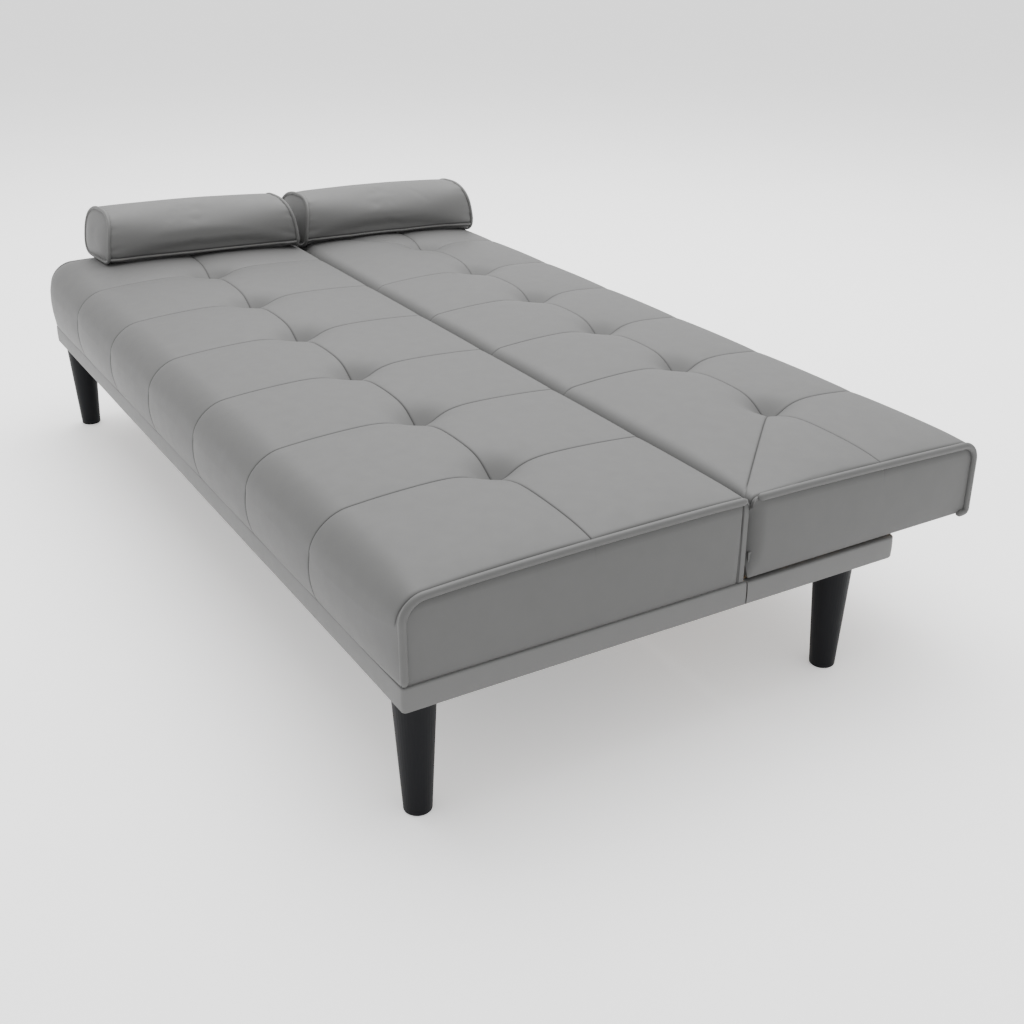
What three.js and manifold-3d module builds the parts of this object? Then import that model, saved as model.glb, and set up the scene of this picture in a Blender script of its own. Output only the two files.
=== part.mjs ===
// Click-clack futon sofa bed, laid flat: a seat half on a fixed frame and a folding back half,
// with ratchet hinges, four tapered legs and two loose pillows.
// Millimetres, +Z up. +X and -X are the two ends, -Y the front, +Y the back half.
import * as THREE from 'three';
import { mergeVertices } from 'three/addons/utils/BufferGeometryUtils.js';
import Module from 'manifold-3d';

const wasm = await Module();
wasm.setup();

// Overall sizes
const bedLength = 1720;
const seatDepth = 545;
const backDepth = 446;
const legHeight = 187;
const seatTop = 358;
const backTop = 350;

// Clearances
const fitGap = 0.3; // between two pieces that rest on each other
const foldGap = 5; // between the two cushions at the fold line
const frameJoint = 3; // between the seat frame and the rear frame
const backLift = 6; // from the rear frame up to the folding frame
const platePlay = 1.5; // between the two hinge plates
const holePlay = 0.3; // radial, round a pin or a bolt

// Wooden frames
const coverInset = 4; // cushion end to bare rail, room for the cover
const railThickness = 24;
const seatRailHeight = 36;
const rearRailHeight = 34;
const backRailHeight = 36;
const rearFrameDepth = 292;
const slatWidth = 70;
const slatThickness = 12;
const seatSlatCount = 4;
const backSlatCount = 4;
const crossRailWidth = 40;
const blockSide = 70;
const sheetThickness = 1.2;
const sheetInset = 2; // dust cover edge to rail

// Cushions
const seatFrontTopRadius = 24;
const seatRearTopRadius = 20;
const cushionLowRadius = 10;
const backRearTopRadius = 24;
const hingeCornerRadius = 40; // the folding edge, round about the hinge

// Legs
const legTopRadius = 30;
const legFootRadius = 20;
const legEdge = 3;
const legTopEdge = 1;
const legBehindRailX = 17; // leg axis from the inner face of the end rail
const legBehindRailY = 9; // and of the front rail
const rearLegBehindFold = 210;
const legPlateSide = 64;
const legPlateThickness = 2.4;
const legPlateCorner = 8;
const legBoltRadius = 4;
const legBoltInLeg = 45;
const legBoltInBlock = 24;

// Hinges
const plateThickness = 5;
const pivotRadius = 5;
const pivotHeadRadius = 9;
const pivotHeadHeight = 4;
const pivotHeadEdge = 1;
const bushingWall = 2;
const bushingFlange = 11;
const plateBossRadius = 25;
const ratchetRadius = 28;
const notchDepth = 7;
const ratchetToRail = 6.3;
const notchFoldDegrees = [0, 36, 76];
const notchHalfDegrees = [9, 9, 12];
const rimStepDegrees = 10;
const footStripHeight = 24;
const footStripDrop = 5; // above the underside of the rails
const footStripForward = 120;
const footStripBehind = 150;
const armReach = 190;
const armStripHeight = 24;
const rootSetback = 4; // arm's lower corner behind the front of the end rail
const pawlY = -26; // pawl pin from the hinge axis
const pawlZ = -35;
const pawlBossRadius = 8;
const pawlBossMargin = 2; // plate round the pawl's boss
const pawlLeverTop = 3.5; // above the pin, engaged
const pawlLeverLow = -5;
const pawlToothTaper = 0.5;
const pawlToothWidth = 4;
const pawlBite = 5.5; // tooth into the ratchet
const pawlBackOff = 15; // degrees, clear to engaged
const pawlPinRadius = 4;
const pawlPinHeadRadius = 7;
const pawlPinHeadHeight = 2;
const springWire = 1.2;
const springTurns = 4;
const springPitch = 1.6;
const springPlay = 0.6; // round the pin
const springLeg = 14;
const screwHoleRadius = 2.6;
const hingeWellPlay = 2; // slot in the back cushion, past the ends of a hinge's pins
const hingeWellAbove = 33; // over the hinge axis
const hingeWellBehind = 62;
const padRadius = 8;
const padBehindFold = 250;

// Pillows
const pillowLength = 425;
const pillowWidth = 132;
const pillowHeight = 117;
const pillowCornerRadius = 38;
const pillowFromEnd = 2; // bed end to the far side of a pillow
const frontPillowBeforeFold = 18;
const rearPillowBehindFold = 6;
const frontPillowTurn = 2.5; // degrees
const rearPillowTurn = 1.5;

// Places that follow from the sizes
const halfLength = bedLength / 2;
const foldY = (seatDepth - backDepth) / 2;
const frontY = foldY - seatDepth;
const rearY = foldY + backDepth;
const seatFaceY = foldY - foldGap / 2;
const backFaceY = foldY + foldGap / 2;
const seatFrameTop = legHeight + seatRailHeight;
const rearFrameTop = legHeight + rearRailHeight;
const backUnderside = rearFrameTop + backLift;
const backFrameTop = backUnderside + backRailHeight;
const railOuterX = halfLength - coverInset;
const railInnerX = railOuterX - railThickness;
const pivotY = backFaceY + hingeCornerRadius;
const pivotZ = backTop - hingeCornerRadius;
const basePlateOuterX = railInnerX - fitGap;
const basePlateInnerX = basePlateOuterX - plateThickness;
const backPlateOuterX = basePlateInnerX - platePlay;
const backPlateInnerX = backPlateOuterX - plateThickness;
const hingeWellOuterX = basePlateOuterX + fitGap + pivotHeadHeight + hingeWellPlay;
const springRun = springTurns * springPitch + springWire;
const springStartX = backPlateInnerX - 2 * fitGap - springRun;
const pawlPinEndX = springStartX - fitGap - pawlPinHeadHeight;
const hingeWellInnerX = pawlPinEndX - hingeWellPlay;
const backRailInnerX = backPlateOuterX + fitGap;
const frontRailInnerY = frontY + coverInset + railThickness;
const seatRearRailY = seatFaceY - railThickness;
const rearFrameEndY = foldY + rearFrameDepth - coverInset;
const rearRailY = rearFrameEndY - railThickness;
const backFrontRailY = backFaceY + coverInset;
const backRearRailY = rearY - coverInset - railThickness;
const backEndRailY = pivotY + ratchetRadius + ratchetToRail;
const frontLegY = frontRailInnerY + legBehindRailY;
const rearLegY = foldY + rearLegBehindFold;
const legX = railInnerX - legBehindRailX;
const legTop = legHeight - fitGap - legPlateThickness - fitGap;
const bushingRadius = pivotRadius + holePlay + bushingWall;
const springRadius = pawlPinRadius + springPlay + springWire / 2;
const sides = [['left', -1], ['right', 1]];

// Finishes
const finish = (color, roughness, metalness = 0) => () =>
  new THREE.MeshStandardMaterial({ color, roughness, metalness });
const leather = finish(0x8f8f8c, 0.5);
const wood = finish(0xc9a779, 0.75);
const blackLeg = finish(0x141519, 0.35);
const darkCloth = finish(0x1b1b1c, 0.95);
const steel = finish(0x9a9ca0, 0.4, 1);
const blackSteel = finish(0x2a2b2d, 0.5, 0.9);
const rubber = finish(0x202020, 0.85);
const nylon = finish(0xe4e2da, 0.45);

const sofaBed = new THREE.Group();

function add(name, geometry, material) {
  const mesh = new THREE.Mesh(geometry, material());
  mesh.name = name;
  sofaBed.add(mesh);
  return mesh;
}

// A box given by its two corners
function block(x0, x1, y0, y1, z0, z1) {
  const geometry = new THREE.BoxGeometry(x1 - x0, y1 - y0, z1 - z0);
  return geometry.translate((x0 + x1) / 2, (y0 + y1) / 2, (z0 + z1) / 2);
}

// A shape drawn with y to the right and z up, extruded along X between x0 and x1
function alongX(shape, x0, x1, curveSegments = 8) {
  const geometry = new THREE.ExtrudeGeometry(shape, { depth: x1 - x0, bevelEnabled: false, curveSegments });
  const turn = new THREE.Matrix4().makeBasis(
    new THREE.Vector3(0, 1, 0), new THREE.Vector3(0, 0, 1), new THREE.Vector3(1, 0, 0));
  return geometry.applyMatrix4(turn).translate(x0, 0, 0);
}

// A shape drawn in plan, extruded upward between z0 and z1
function upward(shape, z0, z1, curveSegments = 8) {
  const geometry = new THREE.ExtrudeGeometry(shape, { depth: z1 - z0, bevelEnabled: false, curveSegments });
  return geometry.translate(0, 0, z0);
}

// The same on the end that sign names: x from inner to outer
function onSide(sign, inner, outer) {
  return sign > 0 ? [inner, outer] : [-outer, -inner];
}

// A profile of radius and height turned about the Z axis
function turned(profile, segments) {
  const points = profile.map(([r, z]) => new THREE.Vector2(r, z));
  return new THREE.LatheGeometry(points, segments).rotateX(Math.PI / 2);
}

// A Z-axis solid laid along X at a height and depth, running from the inside of the bed outward
function layAlongX(geometry, sign, y, z) {
  return geometry.rotateY(sign * Math.PI / 2).translate(0, y, z);
}

// Rectangle with one radius for each corner: low-left, low-right, high-right, high-left
function roundedRect(y0, y1, z0, z1, [ll, lr, hr, hl]) {
  const shape = new THREE.Shape();
  shape.moveTo(y0 + ll, z0);
  shape.lineTo(y1 - lr, z0);
  shape.absarc(y1 - lr, z0 + lr, lr, -Math.PI / 2, 0, false);
  shape.lineTo(y1, z1 - hr);
  shape.absarc(y1 - hr, z1 - hr, hr, 0, Math.PI / 2, false);
  shape.lineTo(y0 + hl, z1);
  shape.absarc(y0 + hl, z1 - hl, hl, Math.PI / 2, Math.PI, false);
  shape.lineTo(y0, z0 + ll);
  shape.absarc(y0 + ll, z0 + ll, ll, Math.PI, 1.5 * Math.PI, false);
  return shape;
}

function holeAt(y, z, radius) {
  const hole = new THREE.Path();
  hole.absarc(y, z, radius, 0, 2 * Math.PI, true);
  return hole;
}

function solid(geometry) {
  const bare = geometry.clone();
  bare.deleteAttribute('normal');
  bare.deleteAttribute('uv');
  const merged = mergeVertices(bare, 1e-4);
  return new wasm.Manifold(new wasm.Mesh({
    numProp: 3,
    vertProperties: new Float32Array(merged.attributes.position.array),
    triVerts: new Uint32Array(merged.index.array),
  }));
}

function cut(geometry, tools) {
  const result = tools.reduce((rest, tool) => rest.subtract(solid(tool)), solid(geometry));
  const mesh = result.getMesh();
  const out = new THREE.BufferGeometry();
  out.setAttribute('position', new THREE.BufferAttribute(new Float32Array(mesh.vertProperties), 3));
  out.setIndex(new THREE.BufferAttribute(new Uint32Array(mesh.triVerts), 1));
  out.computeVertexNormals();
  return out;
}

// Seat half: cushion on a box frame
function seatCushion() {
  const radii = [cushionLowRadius, cushionLowRadius, seatRearTopRadius, seatFrontTopRadius];
  const profile = roundedRect(frontY, seatFaceY, seatFrameTop + fitGap, seatTop, radii);
  add('seat_cushion', alongX(profile, -halfLength, halfLength), leather);
}

function seatFrame() {
  const front = frontY + coverInset;
  const endX = railOuterX;
  add('seat_front_rail', block(-endX, endX, front, frontRailInnerY, legHeight, seatFrameTop), wood);
  const rearX = basePlateInnerX - fitGap;
  add('seat_rear_rail', block(-rearX, rearX, seatRearRailY, seatFaceY, legHeight, seatFrameTop), wood);
  for (const [side, sign] of sides) {
    const [x0, x1] = onSide(sign, railInnerX, railOuterX);
    const y0 = frontRailInnerY + fitGap;
    const y1 = foldY - frameJoint / 2;
    add(`seat_end_rail_${side}`, block(x0, x1, y0, y1, legHeight, seatFrameTop), wood);
  }
  const y0 = frontRailInnerY + fitGap;
  const y1 = seatRearRailY - fitGap;
  const half = crossRailWidth / 2;
  const top = seatFrameTop - slatThickness - fitGap;
  const low = legHeight + sheetThickness + 2 * fitGap;
  add('seat_cross_rail', block(-half, half, y0, y1, low, top), wood);
  const pitch = (2 * railInnerX) / (seatSlatCount + 1);
  for (let i = 0; i < seatSlatCount; i += 1) {
    const x = -railInnerX + pitch * (i + 1);
    const [x0, x1] = [x - slatWidth / 2, x + slatWidth / 2];
    const slat = block(x0, x1, y0, y1, seatFrameTop - slatThickness, seatFrameTop);
    add(`seat_slat_${i + 1}`, slat, wood);
  }
}

// Plan outline of the seat's dust cover, with a step at each front corner for its block
function seatDustCover() {
  const x = basePlateInnerX - sheetInset;
  const stepX = railInnerX - blockSide - sheetInset;
  const y0 = frontRailInnerY + sheetInset;
  const stepY = frontRailInnerY + blockSide + sheetInset;
  const y1 = seatRearRailY - sheetInset;
  const outline = [[-stepX, y0], [stepX, y0], [stepX, stepY], [x, stepY], [x, y1], [-x, y1], [-x, stepY],
    [-stepX, stepY]];
  const shape = new THREE.Shape(outline.map(([px, py]) => new THREE.Vector2(px, py)));
  const low = legHeight + fitGap;
  add('seat_dust_cover', upward(shape, low, low + sheetThickness), darkCloth);
}

// Rear frame: three rails that carry the rear legs under the back half
function rearFrame() {
  const endX = railOuterX;
  add('rear_frame_rail', block(-endX, endX, rearRailY, rearFrameEndY, legHeight, rearFrameTop), wood);
  for (const [side, sign] of sides) {
    const [x0, x1] = onSide(sign, railInnerX, railOuterX);
    const y0 = foldY + frameJoint / 2;
    add(`rear_frame_end_${side}`, block(x0, x1, y0, rearRailY - fitGap, legHeight, rearFrameTop), wood);
    const padHeight = backLift - 2 * fitGap;
    const pad = turned([[0, 0], [padRadius, 0], [padRadius, padHeight], [0, padHeight]], 20);
    const x = sign * (railInnerX + padRadius + fitGap);
    add(`rest_pad_${side}`, pad.translate(x, foldY + padBehindFold, rearFrameTop + fitGap), rubber);
  }
}

function legProfile() {
  const height = legTop;
  const profile = [[0, 0]];
  for (let i = 0; i <= 3; i += 1) {
    const a = (Math.PI / 2) * (i / 3);
    profile.push([legFootRadius - legEdge + legEdge * Math.sin(a), legEdge - legEdge * Math.cos(a)]);
  }
  profile.push([legTopRadius, height - legTopEdge]);
  profile.push([legTopRadius - legTopEdge, height]);
  profile.push([legBoltRadius + holePlay, height]);
  profile.push([legBoltRadius + holePlay, height - legBoltInLeg - fitGap]);
  profile.push([0, height - legBoltInLeg - fitGap]);
  return profile;
}

// One leg with its plate, its bolt and the corner block that takes the bolt
function leg(name, sign, y, blockY0) {
  const x = sign * legX;
  add(`leg_${name}`, turned(legProfile(), 40).translate(x, y, 0), blackLeg);
  const half = legPlateSide / 2;
  const corner = legPlateCorner;
  const plate = roundedRect(-half, half, -half, half, [corner, corner, corner, corner]);
  plate.holes.push(holeAt(0, 0, legBoltRadius + holePlay));
  const plateLow = legTop + fitGap;
  const plateTop = plateLow + legPlateThickness;
  add(`leg_plate_${name}`, upward(plate, plateLow, plateTop, 10).translate(x, y, 0), blackSteel);
  const bolt = new THREE.CylinderGeometry(legBoltRadius, legBoltRadius, legBoltInLeg + legBoltInBlock, 16);
  const boltLow = legTop - legBoltInLeg;
  bolt.rotateX(Math.PI / 2).translate(x, y, boltLow + (legBoltInLeg + legBoltInBlock) / 2);
  add(`leg_bolt_${name}`, bolt, steel);
  const [x0, x1] = onSide(sign, railInnerX - blockSide, railInnerX - fitGap);
  const outline = [[x0, blockY0], [x1, blockY0], [x1, blockY0 + blockSide], [x0, blockY0 + blockSide]];
  const shape = new THREE.Shape(outline.map(([px, py]) => new THREE.Vector2(px, py)));
  shape.holes.push(holeAt(x, y, legBoltRadius + holePlay));
  add(`leg_block_${name}`, upward(shape, legHeight, legHeight + rearRailHeight - slatThickness, 10), wood);
}

function legs() {
  for (const [side, sign] of sides) {
    leg(`front_${side}`, sign, frontLegY, frontRailInnerY + fitGap);
    leg(`rear_${side}`, sign, rearLegY, rearLegY - blockSide / 2);
  }
}

// Back half: cushion on its own frame, hinged at the fold
function backCushion() {
  const radii = [cushionLowRadius, cushionLowRadius, backRearTopRadius, hingeCornerRadius];
  const profile = roundedRect(backFaceY, rearY, backFrameTop + fitGap, backTop, radii);
  const body = alongX(profile, -halfLength, halfLength, 12);
  const wells = sides.map(([, sign]) => {
    const [x0, x1] = onSide(sign, hingeWellInnerX, hingeWellOuterX);
    const past = 1; // the cutter runs out past both faces
    const [y0, y1] = [backFaceY - past, pivotY + hingeWellBehind];
    return block(x0, x1, y0, y1, backFrameTop - past, pivotZ + hingeWellAbove);
  });
  add('back_cushion', cut(body, wells), leather);
}

function backFrame() {
  const low = backUnderside;
  const frontX = hingeWellInnerX - fitGap;
  const y1 = backFrontRailY + railThickness;
  add('back_front_rail', block(-frontX, frontX, backFrontRailY, y1, low, backFrameTop), wood);
  const rearX = backRailInnerX + railThickness;
  const rearEnd = backRearRailY + railThickness;
  add('back_rear_rail', block(-rearX, rearX, backRearRailY, rearEnd, low, backFrameTop), wood);
  for (const [side, sign] of sides) {
    const [x0, x1] = onSide(sign, backRailInnerX, rearX);
    const rail = block(x0, x1, backEndRailY, backRearRailY - fitGap, low, backFrameTop);
    add(`back_end_rail_${side}`, rail, wood);
  }
  const slatY0 = y1 + fitGap;
  const slatY1 = backRearRailY - fitGap;
  const half = crossRailWidth / 2;
  const crossLow = low + sheetThickness + 2 * fitGap;
  const crossTop = backFrameTop - slatThickness - fitGap;
  add('back_cross_rail', block(-half, half, slatY0, slatY1, crossLow, crossTop), wood);
  const pitch = (2 * backRailInnerX) / (backSlatCount + 1);
  for (let i = 0; i < backSlatCount; i += 1) {
    const x = -backRailInnerX + pitch * (i + 1);
    const [x0, x1] = [x - slatWidth / 2, x + slatWidth / 2];
    const slat = block(x0, x1, slatY0, slatY1, backFrameTop - slatThickness, backFrameTop);
    add(`back_slat_${i + 1}`, slat, wood);
  }
  const sheetX = hingeWellInnerX - sheetInset;
  const sheet = block(-sheetX, sheetX, slatY0 + sheetInset, slatY1 - sheetInset, low + fitGap,
    low + fitGap + sheetThickness);
  add('back_dust_cover', sheet, darkCloth);
}

// Fixed hinge plate: a foot strip along both frames and an upright to the axis
function basePlate(side, sign) {
  const low = legHeight + footStripDrop;
  const top = low + footStripHeight;
  const forward = foldY - footStripForward;
  const behind = foldY + footStripBehind;
  const pinY = pivotY + pawlY;
  const pinZ = pivotZ + pawlZ;
  const bossRadius = pawlBossRadius + pawlBossMargin;
  const bossStart = 0.8 * Math.PI;
  const shape = new THREE.Shape();
  shape.moveTo(forward, low);
  shape.lineTo(behind, low);
  shape.lineTo(behind, top);
  shape.lineTo(pivotY + plateBossRadius, top);
  shape.lineTo(pivotY + plateBossRadius, pivotZ);
  shape.absarc(pivotY, pivotZ, plateBossRadius, 0, Math.PI, false);
  shape.absarc(pinY, pinZ, bossRadius, bossStart, Math.PI, false);
  shape.lineTo(pinY - bossRadius, top);
  shape.lineTo(forward, top);
  shape.holes.push(holeAt(pivotY, pivotZ, pivotRadius + holePlay));
  shape.holes.push(holeAt(pinY, pinZ, pawlPinRadius + holePlay));
  const end = footStripHeight / 2;
  for (const y of [forward + end, foldY - footStripForward / 3, behind - end]) {
    shape.holes.push(holeAt(y, (low + top) / 2, screwHoleRadius));
  }
  const [x0, x1] = onSide(sign, basePlateInnerX, basePlateOuterX);
  add(`hinge_base_plate_${side}`, alongX(shape, x0, x1, 10), blackSteel);
}

// Rim of the ratchet: its radius at a direction in degrees, cut away at each notch
function ratchetRim(direction) {
  const contact = 270;
  const inNotch = notchFoldDegrees.some((fold, i) =>
    Math.abs(direction - (contact - fold)) <= notchHalfDegrees[i]);
  return inNotch ? ratchetRadius - notchDepth : ratchetRadius;
}

// Moving hinge plate: ratchet about the axis and an arm along the back's end rail
function backPlate(side, sign) {
  const low = backUnderside + (backRailHeight - armStripHeight) / 2;
  const top = low + armStripHeight;
  const reach = pivotY + armReach;
  const upperRoot = 45;
  const lowerRoot = 300;
  const outline = [[backEndRailY + rootSetback, low], [reach, low], [reach, top]];
  outline.push([backEndRailY + armStripHeight, top]);
  for (let d = upperRoot; d <= lowerRoot; d += 1) {
    const r = ratchetRim(d);
    const edge = ratchetRim(d - 1) !== r || ratchetRim(d + 1) !== r;
    if (edge || d % rimStepDegrees === 0) {
      const a = THREE.MathUtils.degToRad(d);
      outline.push([pivotY + r * Math.cos(a), pivotZ + r * Math.sin(a)]);
    }
  }
  const shape = new THREE.Shape(outline.map(([y, z]) => new THREE.Vector2(y, z)));
  shape.holes.push(holeAt(pivotY, pivotZ, bushingRadius + holePlay));
  for (const y of [backEndRailY + armStripHeight, reach - armStripHeight / 2]) {
    shape.holes.push(holeAt(y, (low + top) / 2, screwHoleRadius));
  }
  const [x0, x1] = onSide(sign, backPlateInnerX, backPlateOuterX);
  add(`hinge_back_plate_${side}`, alongX(shape, x0, x1, 10), blackSteel);
}

// Pivot rivet through both plates, in a flanged bushing
function pivot(side, sign) {
  const innerFace = backPlateInnerX - fitGap;
  const outerFace = basePlateOuterX + fitGap;
  const innerEnd = innerFace - pivotHeadHeight;
  const outerEnd = outerFace + pivotHeadHeight;
  const crown = pivotHeadRadius - pivotHeadEdge;
  const rivet = turned([[0, innerEnd], [crown, innerEnd], [pivotHeadRadius, innerEnd + pivotHeadEdge],
    [pivotHeadRadius, innerFace], [pivotRadius, innerFace], [pivotRadius, outerFace],
    [pivotHeadRadius, outerFace], [pivotHeadRadius, outerEnd - pivotHeadEdge], [crown, outerEnd],
    [0, outerEnd]], 24);
  add(`hinge_pivot_${side}`, layAlongX(rivet, sign, pivotY, pivotZ), steel);
  const bore = pivotRadius + holePlay;
  const flangeLow = backPlateOuterX + fitGap;
  const flangeTop = basePlateInnerX - fitGap;
  const bushing = turned([[bore, backPlateInnerX], [bushingRadius, backPlateInnerX],
    [bushingRadius, flangeLow], [bushingFlange, flangeLow], [bushingFlange, flangeTop], [bore, flangeTop],
    [bore, backPlateInnerX]], 24);
  add(`hinge_bushing_${side}`, layAlongX(bushing, sign, pivotY, pivotZ), nylon);
}

// Pawl: a lever whose tooth drops into the ratchet, drawn engaged and then backed off
function pawl(side, sign) {
  const reach = -pawlY;
  const toothTop = -pawlZ - ratchetRadius + pawlBite;
  const half = pawlToothWidth / 2;
  const start = Math.asin(pawlLeverTop / pawlBossRadius);
  const end = 2 * Math.PI + Math.asin(pawlLeverLow / pawlBossRadius);
  const shape = new THREE.Shape();
  shape.absarc(0, 0, pawlBossRadius, start, end, false);
  shape.lineTo(reach + 2 * half, pawlLeverLow);
  shape.lineTo(reach + 2 * half, pawlLeverTop);
  shape.lineTo(reach + half, pawlLeverTop);
  shape.lineTo(reach + half - pawlToothTaper, toothTop);
  shape.lineTo(reach - half + pawlToothTaper, toothTop);
  shape.lineTo(reach - half, pawlLeverTop);
  shape.holes.push(holeAt(0, 0, pawlPinRadius + holePlay));
  const [x0, x1] = onSide(sign, backPlateInnerX, backPlateOuterX);
  const geometry = alongX(shape, x0, x1, 10).rotateX(-THREE.MathUtils.degToRad(pawlBackOff));
  add(`pawl_${side}`, geometry.translate(0, pivotY + pawlY, pivotZ + pawlZ), steel);
}

// Pawl pin, with a head that keeps the torsion spring on it
function pawlPin(side, sign) {
  const headTop = pawlPinEndX + pawlPinHeadHeight;
  const end = basePlateOuterX - fitGap;
  const pin = turned([[0, pawlPinEndX], [pawlPinHeadRadius, pawlPinEndX], [pawlPinHeadRadius, headTop],
    [pawlPinRadius, headTop], [pawlPinRadius, end], [0, end]], 20);
  add(`pawl_pin_${side}`, layAlongX(pin, sign, pivotY + pawlY, pivotZ + pawlZ), steel);
  const spring = layAlongX(torsionSpring(springStartX), sign, pivotY + pawlY, pivotZ + pawlZ);
  add(`pawl_spring_${side}`, spring, steel);
}

// Torsion spring about the Z axis: close turns between two straight legs
function torsionSpring(start) {
  const low = start + springWire / 2;
  const points = [];
  const perTurn = 10;
  points.push(new THREE.Vector3(springRadius, -springLeg, low));
  for (let i = 0; i <= springTurns * perTurn; i += 1) {
    const a = (2 * Math.PI * i) / perTurn;
    const rise = (springPitch * i) / perTurn;
    points.push(new THREE.Vector3(springRadius * Math.cos(a), springRadius * Math.sin(a), low + rise));
  }
  points.push(new THREE.Vector3(springRadius, springLeg, low + springPitch * springTurns));
  const path = new THREE.CatmullRomCurve3(points, false, 'centripetal');
  const wire = new THREE.Shape();
  wire.absarc(0, 0, springWire / 2, 0, 2 * Math.PI, false);
  const steps = springTurns * perTurn + 8;
  const options = { steps, extrudePath: path, curveSegments: 3, bevelEnabled: false };
  return new THREE.ExtrudeGeometry(wire, options);
}

function hinges() {
  for (const [side, sign] of sides) {
    basePlate(side, sign);
    backPlate(side, sign);
    pivot(side, sign);
    pawl(side, sign);
    pawlPin(side, sign);
  }
}

// One bolster pillow, long across the bed, its far side against the -X end
function pillow(name, middleY, low, degrees) {
  const half = pillowWidth / 2;
  const radii = [pillowCornerRadius, pillowCornerRadius, pillowCornerRadius, pillowCornerRadius];
  const profile = roundedRect(-half, half, 0, pillowHeight, radii);
  const geometry = alongX(profile, -pillowLength / 2, pillowLength / 2, 5).rotateZ(Math.PI / 2);
  const mesh = add(`pillow_${name}`, geometry, leather);
  const a = THREE.MathUtils.degToRad(degrees);
  const x = -halfLength + pillowFromEnd + half * Math.cos(a) + (pillowLength / 2) * Math.sin(a);
  mesh.position.set(x, middleY, low + fitGap);
  mesh.rotation.z = -a;
}

seatCushion();
seatFrame();
seatDustCover();
rearFrame();
legs();
backCushion();
backFrame();
hinges();
pillow('front', foldY - frontPillowBeforeFold - pillowLength / 2, seatTop, frontPillowTurn);
pillow('rear', foldY + rearPillowBehindFold + pillowLength / 2, backTop, rearPillowTurn);

export default sofaBed;
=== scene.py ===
# Click-clack futon sofa bed, laid flat: two tufted halves, piped ends and two bolster pillows
import math
import bmesh
import bpy
import numpy as np
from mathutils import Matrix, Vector


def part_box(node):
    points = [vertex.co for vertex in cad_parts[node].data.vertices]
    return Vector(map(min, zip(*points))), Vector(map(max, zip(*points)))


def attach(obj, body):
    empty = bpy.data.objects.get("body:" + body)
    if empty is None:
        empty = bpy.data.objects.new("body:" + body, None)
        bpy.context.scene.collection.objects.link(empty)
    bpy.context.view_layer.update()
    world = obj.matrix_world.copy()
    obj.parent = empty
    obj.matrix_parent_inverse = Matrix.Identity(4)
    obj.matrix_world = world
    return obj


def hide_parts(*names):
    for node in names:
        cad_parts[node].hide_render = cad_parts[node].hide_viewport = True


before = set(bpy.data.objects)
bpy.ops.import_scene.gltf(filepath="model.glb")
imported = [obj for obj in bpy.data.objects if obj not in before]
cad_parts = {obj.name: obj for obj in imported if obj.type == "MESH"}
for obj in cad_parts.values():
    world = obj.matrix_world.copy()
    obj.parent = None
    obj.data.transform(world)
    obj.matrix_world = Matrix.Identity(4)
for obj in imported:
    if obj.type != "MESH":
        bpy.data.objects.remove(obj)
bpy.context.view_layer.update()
print("frame loaded")


# Shader maths on sockets: numbers and sockets mix in plain expressions
class Channel:
    def __init__(self, finish, socket):
        self.finish = finish
        self.socket = socket

    def math(self, operation, other):
        return self.finish.node("ShaderNodeMath", {"operation": operation}, {0: self, 1: other})

    def __add__(self, other):
        return self.math("ADD", other)

    def __sub__(self, other):
        return self.math("SUBTRACT", other)

    def __mul__(self, other):
        return self.math("MULTIPLY", other)

    __radd__ = __add__


# One material, with the few kinds of pattern that the finishes share
class Finish:
    def __init__(self, name):
        self.material = bpy.data.materials.new(name)
        self.material.use_nodes = True
        self.tree = self.material.node_tree
        self.shader = self.tree.nodes["Principled BSDF"]

    def node(self, kind, settings=None, inputs=None, out=0):
        made = self.tree.nodes.new(kind)
        for key, value in (settings or {}).items():
            setattr(made, key, value)
        for key, value in (inputs or {}).items():
            self.plug(made.inputs[key], value)
        return Channel(self, made.outputs[out])

    def plug(self, target, value):
        if isinstance(value, Channel):
            self.tree.links.new(value.socket, target)
        elif isinstance(value, tuple) and len(value) == 3 and len(target.default_value) == 4:
            target.default_value = (*value, 1)
        else:
            target.default_value = value

    def place(self):
        return self.node("ShaderNodeTexCoord", out="Object")

    def stretch(self, scale):
        return self.node("ShaderNodeMapping", {}, {"Vector": self.place(), "Scale": scale})

    def noise(self, scale, detail, roughness, where=None):
        inputs = {"Vector": where or self.place(), "Scale": scale, "Detail": detail, "Roughness": roughness}
        return self.node("ShaderNodeTexNoise", {}, inputs)

    def cells(self, scale, feature):
        inputs = {"Vector": self.place(), "Scale": scale}
        return self.node("ShaderNodeTexVoronoi", {"feature": feature}, inputs)

    def attribute(self, name):
        return self.node("ShaderNodeAttribute", {"attribute_name": name}, out="Fac")

    def blend(self, amount, first, second):
        return self.node("ShaderNodeMix", {"data_type": "RGBA"}, {0: amount, 6: first, 7: second}, 2)

    def clamp(self, value):
        return self.node("ShaderNodeMath", {"operation": "MULTIPLY", "use_clamp": True}, {0: value, 1: 1.0})

    def bump(self, height, strength, distance, under=None):
        inputs = {"Height": height, "Strength": strength, "Distance": distance}
        if under:
            inputs["Normal"] = under
        return self.node("ShaderNodeBump", {}, inputs)

    def surface(self, **inputs):
        names = dict(color="Base Color", rough="Roughness", metal="Metallic", normal="Normal",
                     specular="Specular IOR Level", sheen="Sheen Weight", sheenRough="Sheen Roughness")
        for key, value in inputs.items():
            self.plug(self.shader.inputs[names[key]], value)
        return self.material


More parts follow.
